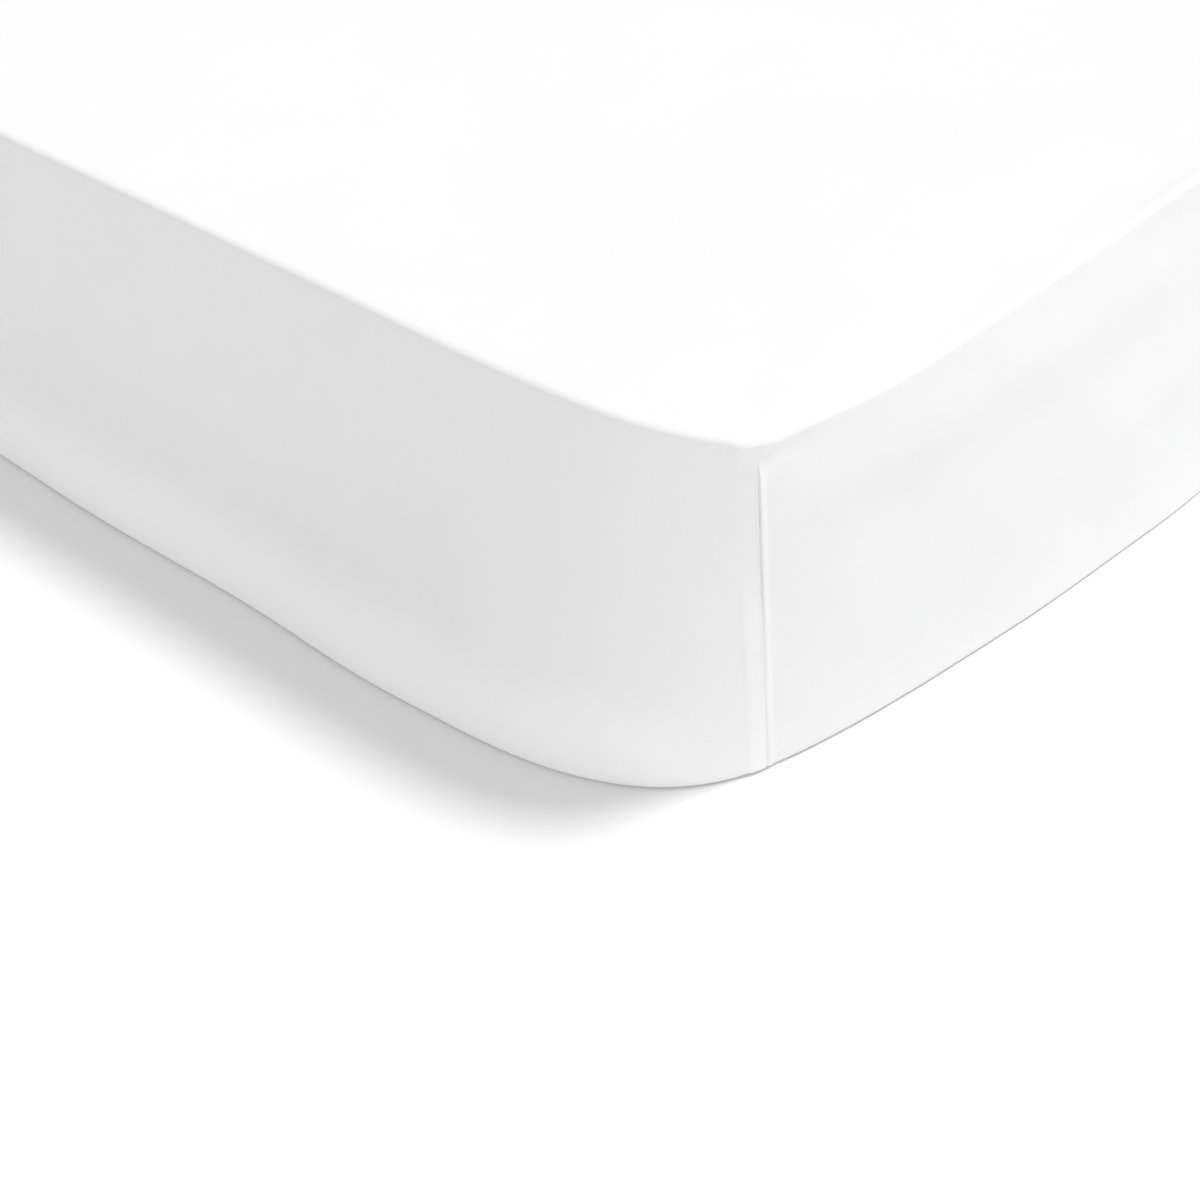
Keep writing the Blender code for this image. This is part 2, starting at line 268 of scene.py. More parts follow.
# %% [markdown]
# Seen in section, each column is a line that turns under at the foot, climbs the side and rolls over the top
# edge. The roll is crisp, since the cloth is pulled tight, and a little rounder beside each seam, where the
# cloth is doubled. It is finer than in the solid, and stands up to 3 mm lower. A bevel on a box would give
# one radius everywhere, so the roll is worked out for each column.

# %% The section through the cloth
EDGE_COLUMNS = ("inwards", "downwards", "rise")
EDGE_ROWS = {
    "seam": (0.0060, 0.0060, 0.000),
    "short": (0.0045, 0.0040, -0.001),
    "long": (0.0035, 0.0035, 0.008),
}
EDGES = table(EDGE_COLUMNS, EDGE_ROWS)
EDGE_BLEND = 0.040
FOOT_ROWS = 4
WALL_ROWS = 66
EDGE_ROLL_ROWS = 8


def edge_value(name, clear):
    """A value of the top edge at every column, blended from the seam to the side."""
    side = np.where(ON_LONG_SIDE, EDGES["long"][name], EDGES["short"][name])
    return EDGES["seam"][name] + (side - EDGES["seam"][name]) * ease(clear)


CREST = CORNER_HEIGHT + edge_value("rise", NOTE["clear"])


def section(inset, floor, rows):
    """Distances inwards and heights of the section, as two tables of rows by columns."""
    foot_rows, wall_rows, roll_rows = rows
    roll_in = edge_value("inwards", NOTE["from_seam"] / EDGE_BLEND)
    roll_down = edge_value("downwards", NOTE["from_seam"] / EDGE_BLEND)
    crest = CREST - inset
    low = floor + FOOT_ROLL
    high = crest - roll_down
    inwards, heights = [], []
    for turn in np.linspace(0.0, np.pi / 2, foot_rows, endpoint=False):
        inwards.append(np.full(COLUMNS, FOOT_ROLL * (1.0 - math.sin(turn))))
        heights.append(np.full(COLUMNS, low - FOOT_ROLL * math.cos(turn)))
    for share in np.linspace(0.0, 1.0, wall_rows, endpoint=False):
        inwards.append(np.zeros(COLUMNS))
        heights.append(low + (high - low) * share)
    for turn in np.linspace(0.0, np.pi / 2, roll_rows + 1):
        inwards.append(roll_in * (1.0 - math.cos(turn)))
        heights.append(crest - roll_down * (1.0 - math.sin(turn)))
    return np.array(inwards), np.array(heights)


print("top edge from", round(CREST.min(), 4), "to", round(CREST.max(), 4), "m")

# %% [markdown]
# A stretched sheet is never quite flat. Broad swells follow the mattress, and they are the same as those of
# the solid. On top of them lie the small marks of the cloth itself: soft creases from folding, shallow dents
# and slow waves. Each crease is one row of a table, a ridge or a trough with a round section that fades at
# its ends.

# %% Swells, creases, dents and waves
SWELL_COLUMNS = ("side", "along", "height", "reach_along", "reach_up", "out")
SWELL_ROWS = (
    ("front", -0.045, 0.010, 0.110, 0.060, 0.0060),
    ("front", 0.180, 0.000, 0.090, 0.080, 0.0070),
    ("front", 0.180, 0.120, 0.160, 0.090, -0.0025),
    ("front", -0.280, 0.200, 0.140, 0.080, 0.0020),
    ("right", -0.780, 0.205, 0.230, 0.030, 0.0028),
    ("right", -0.780, 0.135, 0.200, 0.045, 0.0018),
    ("right", -0.560, 0.100, 0.180, 0.090, 0.0030),
    ("right", -0.100, 0.150, 0.300, 0.100, -0.0030),
    ("right", 0.480, 0.060, 0.220, 0.080, 0.0035),
    ("back", 0.120, 0.080, 0.180, 0.080, 0.0030),
    ("back", -0.190, 0.170, 0.160, 0.080, -0.0025),
    ("left", 0.350, 0.120, 0.260, 0.100, 0.0030),
    ("left", -0.420, 0.090, 0.240, 0.090, -0.0030),
)
# A crease runs from one place of a side to another. Its width and its height are in millimetres, and the
# height is below 0 for a trough.
CREASE_COLUMNS = ("side", "from_along", "from_height", "to_along", "to_height", "width", "out")
CREASE_ROWS = (
    ("front", 0.106, 0.214, 0.132, 0.157, 13.0, 0.35),
    ("front", 0.132, 0.157, 0.180, 0.100, 14.0, 0.40),
    ("front", 0.268, 0.100, 0.269, 0.070, 7.0, 0.20),
    ("front", 0.249, 0.148, 0.249, 0.153, 14.0, -0.40),
    ("front", 0.066, 0.061, 0.069, 0.063, 7.0, -0.30),
    ("front", 0.322, 0.2085, 0.377, 0.1970, 6.0, 0.32),
    ("front", 0.414, 0.193, 0.430, 0.189, 24.0, 0.60),
    ("front", 0.436, 0.2215, 0.4375, 0.2215, 6.0, 0.30),
    ("front", 0.4375, 0.2334, 0.4405, 0.2330, 3.0, -0.40),
    ("front", 0.126, 0.024, 0.130, 0.024, 18.0, 0.60),
    ("front", 0.165, 0.016, 0.168, 0.016, 16.0, 0.50),
    ("front", -0.210, 0.205, -0.150, 0.128, 14.0, 0.40),
    ("front", -0.330, 0.090, -0.325, 0.060, 9.0, 0.30),
    ("front", -0.405, 0.222, -0.380, 0.180, 10.0, -0.40),
    ("right", -0.938, 0.2380, -0.914, 0.2400, 9.0, -0.60),
    ("right", -0.9395, 0.2275, -0.932, 0.2275, 3.5, 0.25),
    ("right", -0.300, 0.212, -0.180, 0.190, 12.0, 0.45),
    ("right", 0.050, 0.120, 0.085, 0.062, 12.0, -0.45),
    ("right", 0.640, 0.205, 0.700, 0.130, 14.0, 0.45),
    ("right", 0.905, 0.226, 0.900, 0.170, 10.0, -0.50),
    ("back", 0.390, 0.224, 0.350, 0.172, 12.0, 0.50),
    ("back", 0.060, 0.190, 0.000, 0.118, 14.0, 0.45),
    ("back", -0.250, 0.150, -0.245, 0.100, 10.0, -0.45),
    ("back", -0.402, 0.220, -0.385, 0.190, 8.0, 0.40),
    ("left", 0.880, 0.222, 0.820, 0.160, 13.0, 0.50),
    ("left", 0.240, 0.205, 0.120, 0.192, 12.0, 0.45),
    ("left", -0.120, 0.130, -0.155, 0.070, 12.0, -0.45),
    ("left", -0.560, 0.210, -0.500, 0.140, 14.0, 0.45),
    ("left", -0.905, 0.226, -0.895, 0.180, 10.0, -0.45),
)
# With this, a crease has dropped to a tenth of its height at its full width.
CREASE_TAIL = 1.5


def swells(side, place_along, height):
    """How far the cloth stands out with the shape of the mattress."""
    total = np.zeros_like(height)
    for swell in table(SWELL_COLUMNS, SWELL_ROWS):
        if swell["side"] == side:
            across = (place_along - swell["along"]) / swell["reach_along"]
            upwards = (height - swell["height"]) / swell["reach_up"]
            total += swell["out"] * np.exp(-across * across - upwards * upwards)
    return total


def creases(side, along, height):
    """How far the creases of one side stand out."""
    total = np.zeros_like(height)
    for crease in table(CREASE_COLUMNS, CREASE_ROWS):
        if crease["side"] == side:
            start = np.array([crease["from_along"], crease["from_height"]])
            run = np.array([crease["to_along"], crease["to_height"]]) - start
            length = np.linalg.norm(run)
            run /= length
            ahead = (along - start[0]) * run[0] + (height - start[1]) * run[1]
            beyond = np.maximum(np.maximum(-ahead, ahead - length), 0.0)
            aside = (along - start[0]) * run[1] - (height - start[1]) * run[0]
            away = (aside * aside + beyond * beyond) / (crease["width"] * MM / CREASE_TAIL) ** 2
            total += crease["out"] * MM * np.exp(-away)
    return total


WAVE_COUNT = 16


def waves(u, v, seed, shortest, longest, height):
    """Slow uneven waves that run in all directions, the same each time for one seed."""
    chance = np.random.default_rng(seed)
    total = np.zeros_like(u)
    for _ in range(WAVE_COUNT):
        length = chance.uniform(shortest, longest)
        angle = chance.uniform(0.0, np.pi)
        phase = chance.uniform(0.0, 2.0 * np.pi)
        total += np.sin((u * math.cos(angle) + v * math.sin(angle)) * 2.0 * np.pi / length + phase)
    return total * height / math.sqrt(WAVE_COUNT / 2.0)


print(len(SWELL_ROWS), "swells and", len(CREASE_ROWS), "creases")

# %% [markdown]
# The seam is a fine dark valley between two low ridges. It is deep where the cloth is pulled tight, and
# shallow on the lower half. The cut edges of the cloth are folded behind it and lift the cloth above them: a
# narrow band on the long side, and a wider one on the short side's lower half. It could be painted on, but
# light only catches a band that stands up, so the ridges are in the mesh.

# %% The seam and its ridges
SEAM_COLUMNS = ("distances", "heights", "top", "top_fade")
SEAM_ROWS = {
    "short": ((0.4, 1.3, 10.0, 12.5), (0.0, 1.0, 0.9, 0.0), 0.146, 0.040),
    "long": ((0.0, 0.8, 3.4, 4.2), (0.0, 0.7, 0.6, 0.0), 0.226, 0.010),
}
SEAMS = table(SEAM_COLUMNS, SEAM_ROWS)
VALLEY_DEPTH = 1.3 * MM
VALLEY_WIDTH = 0.8 * MM
LOW_VALLEY_SHARE = 0.15
LOW_VALLEY_TOP = 0.100
LOW_VALLEY_FADE = 0.060
SEAM_TOP = 0.236
SEAM_TOP_FADE = 0.005


def seam_ridge(kind, from_seam, height):
    """How high the ridge beside a seam stands, in millimetres."""
    seam = SEAMS[kind]
    distances = np.array(seam["distances"]) * MM
    shown = ease((seam["top"] - height) / seam["top_fade"] + 0.5)
    return np.interp(from_seam, distances, seam["heights"], left=0.0, right=0.0) * shown


def seam_relief(kind, from_seam, height):
    """How far the cloth beside a seam stands out, or in."""
    valley = np.clip(1.0 - from_seam / VALLEY_WIDTH, 0.0, 1.0)
    valley = valley * ease((SEAM_TOP - height) / SEAM_TOP_FADE)
    tight = ease((height - LOW_VALLEY_TOP) / LOW_VALLEY_FADE)
    valley = valley * (LOW_VALLEY_SHARE + (1.0 - LOW_VALLEY_SHARE) * tight)
    return seam_ridge(kind, from_seam, height) * MM - VALLEY_DEPTH * valley


print("widths of a seam's ridges, in mm:", [seam["distances"][-1] for seam in SEAMS.values()])

# %% [markdown]
# The top of each corner is nearly a point, but the seam ends in it with four layers of cloth, and no point of
# cloth is sharp. Its top 3 cm is therefore rounded off: each point of the outline moves to the mean of the
# outline on both sides of it. The reach of that mean shrinks away from the seam, so the rounding starts and
# ends with no step. A bevel would also have to cut through the mesh of the seam.

# %% Round off the tips of the corners
TIP_REACH = 0.016
TIP_START = 0.224
TIP_FADE = 0.018
TIP_SAMPLES = 41


def rounded(points):
    """An outline with its corners at the seams rounded off."""
    loop = np.concatenate([points, points, points])
    walk = walked(loop)
    here = walk[COLUMNS:2 * COLUMNS]
    spread = TIP_REACH * (1.0 - ease(NOTE["from_seam"] / (2.0 * TIP_REACH)))
    samples = here[:, None] + spread[:, None] * np.linspace(-1.0, 1.0, TIP_SAMPLES)
    return np.stack([np.interp(samples, walk, loop[:, axis]).mean(axis=1) for axis in (0, 1)], axis=1)


TIP_MOVE = rounded(OUTLINE["top"]) - OUTLINE["top"]
print("a tip moves in by", round(np.linalg.norm(TIP_MOVE, axis=1).max() / MM, 1), "mm")

# %% [markdown]
# Now the cloth of the sides can be laid out as one table of points: rows of the section by columns of the
# outlines. Each point starts on the straight line from foot to top edge and is then moved outwards by
# everything above. The solid is made in the same way with fewer steps, so both have the same form, apart from
# the finer edge.

# %% Lay out the sides
SLOW_WAVES = (0.090, 0.260, 0.45 * MM)
QUICK_WAVES = (0.022, 0.060, 0.07 * MM)
EDGE_WAVES = (0.060, 0.300, 0.60 * MM)
# Each kind of wave has its own seed. The slow and quick ones add the number of the side to it. For those of
# the edge, the sides lie SIDE_APART metres from each other.
SLOW_SEED = 11
QUICK_SEED = 31
EDGE_SEED = 5
SIDE_APART = 3.1
SEAM_CALM = 0.010
EDGE_CALM = 0.020
SWELL_CALM = 0.045
SWELL_SHOWN = ease(NOTE["from_seam"] / SWELL_CALM)


def side_relief(height):
    """The small relief of the cloth at every point of the sides."""
    total = np.zeros_like(height)
    for index, name in enumerate(SIDES):
        at = NOTE["side"] == index
        along = np.broadcast_to(NOTE["along"][at], height[:, at].shape)
        from_seam = np.broadcast_to(NOTE["from_seam"][at], height[:, at].shape)
        z = height[:, at]
        calm = ease(from_seam / SEAM_CALM) * ease((CREST[at] - z) / EDGE_CALM)
        relief = creases(name, along, z)
        relief = relief + waves(along, z, SLOW_SEED + index, *SLOW_WAVES) * calm
        relief = relief + waves(along, z, QUICK_SEED + index, *QUICK_WAVES) * calm
        total[:, at] = relief + seam_relief(KIND[name], from_seam, z)
    return total


def skin(inset, floor, rows, detailed):
    """The cloth of the sides, from the turn under the foot up to the edge of the top, rows by columns."""
    inwards, height = section(inset, floor, rows)
    share = (height / CREST)[..., None]
    place = OUTLINE["foot"] + (OUTLINE["top"] - OUTLINE["foot"]) * share
    place = place + TIP_MOVE * ease((height - TIP_START) / TIP_FADE)[..., None]
    normal = unit(NORMAL["foot"] + (NORMAL["top"] - NORMAL["foot"]) * share)
    out = -inwards - inset
    for index, name in enumerate(SIDES):
        at = NOTE["side"] == index
        axis = 1 if KIND[name] == "long" else 0
        out[:, at] += swells(name, place[:, at, axis], height[:, at]) * SWELL_SHOWN[at]
    if detailed:
        out += side_relief(height)
        edge_waves = waves(NOTE["along"], NOTE["side"] * SIDE_APART, EDGE_SEED, *EDGE_WAVES)
        height = height + edge_waves * SWELL_SHOWN * ease(height / CREST)
    place = place + normal * out[..., None]
    return np.concatenate([place, height[..., None]], axis=2)


outer_sides = skin(0.0, 0.0, (FOOT_ROWS, WALL_ROWS, EDGE_ROLL_ROWS), True)
print("the sides have", outer_sides.shape[0], "rows of", outer_sides.shape[1], "points")

# %% [markdown]
# Under the mattress the cloth lies flat on the floor as far as its hem, which is folded over and a little
# thicker. Because the hem is shorter than the foot of the sheet, the cloth between them is gathered, most of
# all at the corners. The gathers are low waves across the cloth, which fade out towards the foot.

# %% Lay out the tucked part and the hem
CLOTH_THICKNESS = 0.002
TUCK_THICKNESS = 0.0013
HEM_WIDTH = 0.016
HEM_THICKNESS = 0.0026
GATHER_PITCH = 0.017
GATHER_HEIGHT = 0.0007
GATHER_DRIFT = 0.35
GATHER_DRIFT_REACH = 0.11
STRAIGHT_GATHER_SHARE = 0.25
GATHER_FADE = 1.4
TUCK_ROWS = 6
HEM_GROOVE = 0.0005
HEM_GROOVE_SHARES = np.array([0.78, 0.86, 0.94])
GROOVE_RING = 2


def gathers():
    """How far the gathered cloth lifts off the floor at each column, at the hem."""
    hem_walk = walked(np.concatenate([OUTLINE["hem"], OUTLINE["hem"][:1]]))[:-1]
    folds = hem_walk / GATHER_PITCH + GATHER_DRIFT * np.sin(hem_walk / GATHER_DRIFT_REACH)
    corner = 1.0 - (1.0 - STRAIGHT_GATHER_SHARE) * ease(NOTE["clear"])
    return GATHER_HEIGHT * corner * (0.5 - 0.5 * np.cos(2.0 * np.pi * folds))


def tucked(foot_ring, shares, lift, thickness):
    """Rings of the tucked cloth. A share of 0 is at the hem's inner fold and 1 is at the foot."""
    hem = OUTLINE["hem"]
    run = foot_ring[:, :2] - hem
    rings = []
    for share in shares:
        place = hem + run * share
        height = lift * ease((1.0 - share) * GATHER_FADE) + thickness
        rings.append(np.concatenate([place, height[:, None]], axis=1))
    return rings


TUCK_LENGTH = np.linalg.norm(outer_sides[0, :, :2] - OUTLINE["hem"], axis=1)
hem_share = float(HEM_WIDTH / TUCK_LENGTH.mean())
lift = gathers()
tuck_shares = np.linspace(hem_share, 1.0, TUCK_ROWS, endpoint=False)
outer_tuck = tucked(outer_sides[0], [0.0, *HEM_GROOVE_SHARES * hem_share, *tuck_shares], lift, 0.0)
outer_tuck[GROOVE_RING][:, 2] += HEM_GROOVE
print("the cloth is tucked under by", round(float(TUCK_LENGTH.min()), 3), "m or more")

# %% [markdown]
# The inner face of the cloth is hidden, but without it the sheet would be a surface with no thickness, and a
# sheet has one. It repeats the same section two millimetres further in, with few rows. All rings together
# then make one closed strip: down the inside, round the hem and up the outside.

# %% Lay out the inner face
INNER_ROWS = (2, 6, 3)
HEM_UPPER_SHARES = (0.0, 0.90)
HEM_UPPER_LIFT = 0.4
HEM_STEP_SHARE = 1.12
INNER_TUCK_SHARES = (0.4, 0.7)

inner_sides = skin(CLOTH_THICKNESS, CLOTH_THICKNESS, INNER_ROWS, False)
upper_hem = [hem_share * share for share in HEM_UPPER_SHARES]
inner_tuck = [
    *tucked(inner_sides[0], upper_hem, lift * HEM_UPPER_LIFT, HEM_THICKNESS),
    *tucked(inner_sides[0], [hem_share * HEM_STEP_SHARE, *INNER_TUCK_SHARES], lift, TUCK_THICKNESS),
]
inner_rings = [*inner_tuck, *inner_sides][::-1]
outer_rings = [*outer_tuck, *outer_sides]
rings = np.array(inner_rings + outer_rings)
print(len(inner_rings), "rings inside and", len(outer_rings), "outside")

# %% [markdown]
# The top is a grid that is stretched between the four edges, like a drum skin. Each point starts between the
# two pairs of opposite edges, and then moves a few dozen times to the middle of its four neighbours, so that
# the cells at a rounded tip don't fold over each other. The grid has half as many points each way as the
# edges, because it is almost flat. Soft folds run into it from the corners, where the cloth pulls.

# %% Lay out the top
TOP_SLOW_WAVES = (0.180, 0.520, 0.7 * MM)
TOP_QUICK_WAVES = (0.030, 0.090, 0.06 * MM)
TOP_SLOW_SEED = 51
TOP_QUICK_SEED = 52
TOP_CALM_START = 0.010
TOP_CALM = 0.090
DRUM_ROUNDS = 60
# A fold's turn is from the short side towards the long side, and its height is in millimetres.
TOP_FOLD_COLUMNS = ("x_side", "y_side", "turn", "reach", "width", "height")
TOP_FOLD_ROWS = (
    (1, -1, 38.0, 0.30, 0.016, 0.70),
    (1, -1, 55.0, 0.24, 0.014, -0.55),
    (1, -1, 74.0, 0.34, 0.018, 0.60),
    (1, 1, 30.0, 0.26, 0.015, 0.60),
    (1, 1, 62.0, 0.32, 0.017, 0.65),
    (-1, 1, 42.0, 0.28, 0.016, 0.65),
    (-1, 1, 70.0, 0.22, 0.014, -0.50),
    (-1, -1, 34.0, 0.24, 0.015, 0.55),
    (-1, -1, 60.0, 0.30, 0.017, 0.65),
)
FOLD_START = 0.030
FOLD_EDGE_CALM = 0.030
FOLD_WIDENS = 0.10


def split_ring(ring):
    """The four edges of the top as lines that all run towards +X or +Y, taking every second column."""
    long, short = LONG_COLUMNS, SHORT_COLUMNS
    closed = np.concatenate([ring, ring[:1]])
    right = closed[:long + 1:2]
    back = closed[long:long + short + 1:2][::-1]
    left = closed[long + short:2 * long + short + 1:2][::-1]
    front = closed[2 * long + short::2]
    return right, back, left, front


def top_folds(x, y):
    """How far the folds at the corners lift the top."""
    total = np.zeros_like(x)
    for fold in table(TOP_FOLD_COLUMNS, TOP_FOLD_ROWS):
        turn = math.radians(fold["turn"])
        in_x = HALF_WIDTH - x * fold["x_side"]
        in_y = HALF_LENGTH - y * fold["y_side"]
        ahead = in_x * math.cos(turn) + in_y * math.sin(turn)
        aside = in_y * math.cos(turn) - in_x * math.sin(turn)
        width = fold["width"] + FOLD_WIDENS * np.maximum(ahead, 0.0)
        shown = ease(ahead / FOLD_START - 0.5) * ease(1.0 - ahead / fold["reach"])
        total += fold["height"] * MM * shown * np.exp(-(aside / width) ** 2)
    return total


def top_grid(ring, detailed):
    """The points of the top, as a table of rows along Y by columns along X."""
    right, back, left, front = split_ring(ring)
    v = np.linspace(0.0, 1.0, len(right))[:, None, None]
    u = np.linspace(0.0, 1.0, len(front))[None, :, None]
    sides = left[:, None] * (1 - u) + right[:, None] * u + front[None] * (1 - v) + back[None] * v
    low = front[0] * (1 - u) + front[-1] * u
    high = back[0] * (1 - u) + back[-1] * u
    grid = sides - (low * (1 - v) + high * v)
    for _ in range(DRUM_ROUNDS):
        grid[1:-1, 1:-1] = (grid[:-2, 1:-1] + grid[2:, 1:-1] + grid[1:-1, :-2] + grid[1:-1, 2:]) / 4
    if detailed:
        x, y = grid[..., 0], grid[..., 1]
        inside = np.minimum(HALF_WIDTH - np.abs(x), HALF_LENGTH - np.abs(y))
        calm = ease((inside - TOP_CALM_START) / TOP_CALM)
        grid[..., 2] += waves(x, y, TOP_SLOW_SEED, *TOP_SLOW_WAVES) * calm
        grid[..., 2] += waves(x, y, TOP_QUICK_SEED, *TOP_QUICK_WAVES) * calm
        grid[..., 2] += top_folds(x, y) * ease(inside / FOLD_EDGE_CALM)
    return grid


outer_top = top_grid(outer_sides[-1], True)
inner_top = top_grid(inner_sides[-1], False)
print("the top is a grid of", outer_top.shape[0], "by", outer_top.shape[1])

# %% [markdown]
# With all points laid out, the mesh is only bookkeeping: vertices, then faces that name them. A face runs
# anticlockwise as seen from outside, which is how Blender knows its outside. The cells at the rim of the top
# have five or six corners, because they also hold the edge points between them.

# %% Build the faces of the cloth
def strip_faces(ring_count, columns):
    """Four-sided faces between neighbouring rings."""
    here = np.arange(columns)
    after = (here + 1) % columns
    faces = []
    for ring in range(ring_count - 1):
        low = ring * columns
        high = low + columns
        faces.append(np.stack([low + here, low + after, high + after, high + here], axis=1))
    return np.concatenate(faces)


def top_faces(edge, first_new, facing_up):
    """The faces of the top, joined to the vertices of its edge ring."""
    long, short = LONG_COLUMNS, SHORT_COLUMNS
    rows, columns = long // 2 + 1, short // 2 + 1
    index = np.zeros((rows, columns), int)
    index[1:-1, 1:-1] = first_new + np.arange((rows - 2) * (columns - 2)).reshape(rows - 2, columns - 2)
    index[:, -1], index[-1], index[:, 0], index[0] = split_ring(edge)
    faces = []
    for j in range(rows - 1):
        for i in range(columns - 1):
            face = [index[j, i]]
            if j == 0:
                face.append(edge[2 * long + short + 2 * i + 1])
            face.append(index[j, i + 1])
            if i == columns - 2:
                face.append(edge[2 * j + 1])
            face.append(index[j + 1, i + 1])
            if j == rows - 2:
                face.append(edge[long + short - 2 * i - 1])
            face.append(index[j + 1, i])
            if i == 0:
                face.append(edge[2 * long + short - 2 * j - 1])
            faces.append(face if facing_up else face[::-1])
    return faces


def capped(rings, caps):
    """The points and faces of rings and the grids that close them.

    A cap is its grid, the number of the ring that it joins, and whether it faces up.
    """
    points = rings.reshape(-1, 3)
    faces = strip_faces(len(rings), COLUMNS).tolist()
    for grid, ring, facing_up in caps:
        faces += top_faces(np.arange(COLUMNS) + ring * COLUMNS, len(points), facing_up)
        points = np.concatenate([points, grid[1:-1, 1:-1].reshape(-1, 3)])
    return points, faces


def add_piece(name, points, faces):
    """A smooth mesh in the scene, as its object. It prints how fine it is."""
    mesh = bpy.data.meshes.new(name)
    mesh.from_pydata(points, [], faces)
    mesh.shade_smooth()
    print(name, "has", len(points), "points and", sum(len(face) - 2 for face in faces), "triangles")
    return placed(name, mesh)


cloth_points, cloth_faces = capped(rings, [(outer_top, len(rings) - 1, True), (inner_top, 0, False)])
cloth = add_piece("sheet_cloth", cloth_points, cloth_faces)
cloth_mesh = cloth.data

# %% [markdown]
# A weave has to run along the cloth, so the mesh gets a map of where each point was on the flat cloth, in
# metres. On the top that is simply X and Y. On a side it is the place on the top edge, plus the distance
# walked down from it. Object coordinates would smear the threads down the sides.

# %% Map the cloth flat
DOWN_THE_SIDE = {"right": (1, 0), "back": (0, 1), "left": (-1, 0), "front": (0, -1)}


def down_walk(ring_points):
    """The distance of each ring from the top edge, which is the last ring."""
    steps = np.linalg.norm(np.diff(ring_points[::-1], axis=0), axis=2)
    distance = np.concatenate([np.zeros((1, ring_points.shape[1])), np.cumsum(steps, axis=0)])
    return distance[::-1]


inner_down = down_walk(np.array(inner_rings[::-1]))[::-1]
outer_down = down_walk(np.array(outer_rings))
down = np.concatenate([inner_down, outer_down])
directions = np.array([DOWN_THE_SIDE[SIDES[side]] for side in NOTE["side"]], float)
edge_place = outer_sides[-1][:, :2]
here = np.arange(COLUMNS)
after = (here + 1) % COLUMNS
side_map = []
for ring in range(len(rings) - 1):
    corners = [(ring, here), (ring, after), (ring + 1, after), (ring + 1, here)]
    places = [edge_place[column] + directions * down[row, column][:, None] for row, column in corners]
    side_map.append(np.stack(places, axis=1))
side_map = np.concatenate(side_map).reshape(-1, 2)
side_face_count = (len(rings) - 1) * COLUMNS
top_loops = np.concatenate(cloth_faces[side_face_count:])
flat_map = np.concatenate([side_map, cloth_points[top_loops, :2]])
layer = cloth_mesh.uv_layers.new(name="cloth_metres")
layer.uv.foreach_set("vector", flat_map.astype(np.float32).ravel())
print("the flat map spans", np.round(np.ptp(flat_map, axis=0), 3), "m")

# %% [markdown]
# The mattress fills the sheet and gives it its shape. Only its underside shows, inside the hem, when the bed
# is turned over. It follows the section of the sheet a little further in, so the two never touch, and it is
# closed with a grid above and a grid below.

# %% Make the mattress
MATTRESS_INSET = 0.0045
MATTRESS_FLOOR = 0.0035
MATTRESS_ROWS = (3, 10, 4)

mattress_rings = skin(MATTRESS_INSET, MATTRESS_FLOOR, MATTRESS_ROWS, False)
mattress_top = top_grid(mattress_rings[-1], False)
mattress_base = top_grid(mattress_rings[0], False)
mattress_caps = [(mattress_base, 0, False), (mattress_top, len(mattress_rings) - 1, True)]
mattress = add_piece("mattress_body", *capped(mattress_rings, mattress_caps))

# %% [markdown]
# Stitches hold the seams and the hem. Each one is a short spindle of thread that dips into the cloth at both
# ends. One stitch is worked out as a small set of points, and numpy sets a copy of it at every step along a
# line on the cloth. They are joined in one mesh, because thousands of separate objects would be slow.

# %% Sew the stitches
STITCH_STEP = 2.7 * MM
HEM_STITCH_STEP = STITCH_STEP * 1.1
STITCH_LENGTH = 2.3 * MM
STITCH_RING_SHARES = (-0.27, 0.27)
STITCH_DIP = 1.4
THREAD_RADIUS = 0.20 * MM
THREAD_SIDES = 5
DIRECTION_REACH = 0.5 * MM
STITCH_COLUMN = 4
STITCH_TOP = 0.228
STITCH_FOOT = 0.004
SEAM_STITCH_LEAN = 0.28


def walk_evenly(line, step):
    """Points, and the directions at them, at even steps along a line of points."""
    distance = walked(line)
    count = int(distance[-1] / step)
    stations = (np.arange(count) + 0.5) * distance[-1] / count
    places, ahead, behind = [
        np.stack([np.interp(stations + shift, distance, line[:, axis]) for axis in range(3)], axis=1)
        for shift in (0.0, DIRECTION_REACH, -DIRECTION_REACH)]
    return places, unit(ahead - behind)


def spindles(places, runs, outwards):
    """The points of a spindle of thread at each place: a tip, two rings and a tip."""
    across = unit(np.cross(outwards, runs))
    upwards = np.cross(runs, across)
    turns = np.arange(THREAD_SIDES) * 2.0 * np.pi / THREAD_SIDES
    dip = upwards * THREAD_RADIUS * STITCH_DIP
    parts = [places - runs * STITCH_LENGTH * 0.5 - dip]
    for end in STITCH_RING_SHARES:
        for turn in turns:
            ring = across * math.cos(turn) + upwards * math.sin(turn)
            parts.append(places + runs * STITCH_LENGTH * end + ring * THREAD_RADIUS)
    parts.append(places + runs * STITCH_LENGTH * 0.5 - dip)
    return np.stack(parts, axis=1)


def spindle_faces(count):
    """The faces of that many spindles."""
    last = 2 * THREAD_SIDES + 1
    one = []
    for side in range(THREAD_SIDES):
        after = (side + 1) % THREAD_SIDES
        low, low_after = 1 + side, 1 + after
        high, high_after = low + THREAD_SIDES, low_after + THREAD_SIDES
        one += [(0, low_after, low), (low, low_after, high_after, high), (high, high_after, last)]
    starts = range(0, (last + 1) * count, last + 1)
    return [tuple(start + corner for corner in face) for start in starts for face in one]


